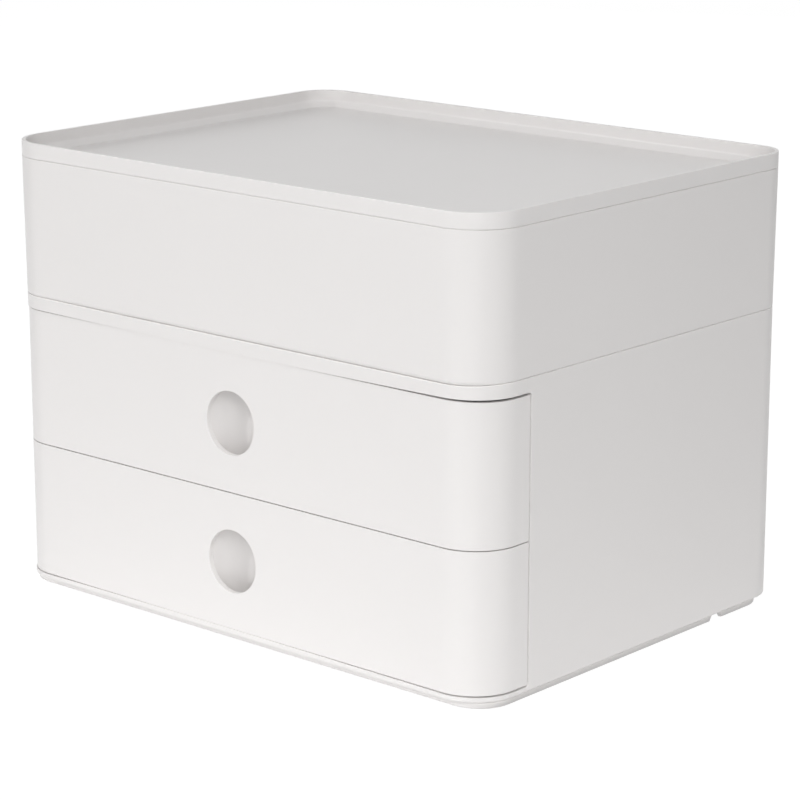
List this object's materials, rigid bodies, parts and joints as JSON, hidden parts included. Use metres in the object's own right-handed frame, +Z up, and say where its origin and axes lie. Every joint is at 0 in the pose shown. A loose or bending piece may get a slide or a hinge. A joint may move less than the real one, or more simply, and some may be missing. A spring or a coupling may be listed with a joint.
{
  "type": "desk box with drawers",
  "caption": "Rounded desk box with wrap-round drawers, a lidded utensil box standing on its deck, and a lid that is also a shallow tray.",
  "frame": {"origin": "middle of the rectangle that the box covers on the table, at table height", "axes": "+X to the box's right as seen from its front, the drawers open towards -Y, +Z up"},
  "size_m": [0.26, 0.195, 0.19],
  "materials": {
    "white_plastic": "satin, finely grained snow-white moulding",
    "inner_plastic": "matt white moulding",
    "soft_rubber": "matt grey rubber"
  },
  "bodies": {
    "housing": {"housing_shell": "white_plastic", "plinth_frame": "white_plastic", "runner_upper_left": "inner_plastic", "runner_upper_right": "inner_plastic", "runner_lower_left": "inner_plastic", "runner_lower_right": "inner_plastic", "buffer_upper_left": "soft_rubber", "buffer_upper_right": "soft_rubber", "buffer_lower_left": "soft_rubber", "buffer_lower_right": "soft_rubber", "foot_front_left": "soft_rubber", "foot_front_right": "soft_rubber", "foot_rear_left": "soft_rubber", "foot_rear_right": "soft_rubber"},
    "drawer_upper": {"drawer_upper_front": "white_plastic", "drawer_upper_tray": "white_plastic"},
    "drawer_lower": {"drawer_lower_front": "white_plastic", "drawer_lower_tray": "white_plastic"},
    "organizer": {"organizer_box": "white_plastic"},
    "insert": {"organizer_insert": "inner_plastic"},
    "lid": {"lid_tray": "white_plastic"}
  },
  "joints": [
    {"name": "drawer_upper_slide", "type": "slide", "parent": "housing", "child": "drawer_upper", "axis": [0, -1, 0], "range_m": [0, 0.12]},
    {"name": "drawer_lower_slide", "type": "slide", "parent": "housing", "child": "drawer_lower", "axis": [0, -1, 0], "range_m": [0, 0.12]},
    {"name": "organizer_lift", "type": "slide", "parent": "housing", "child": "organizer", "axis": [0, 0, 1], "range_m": [0, 0.05]},
    {"name": "insert_lift", "type": "slide", "parent": "organizer", "child": "insert", "axis": [0, 0, 1], "range_m": [0, 0.07]},
    {"name": "lid_lift", "type": "slide", "parent": "insert", "child": "lid", "axis": [0, 0, 1], "range_m": [0, 0.05]}
  ]
}
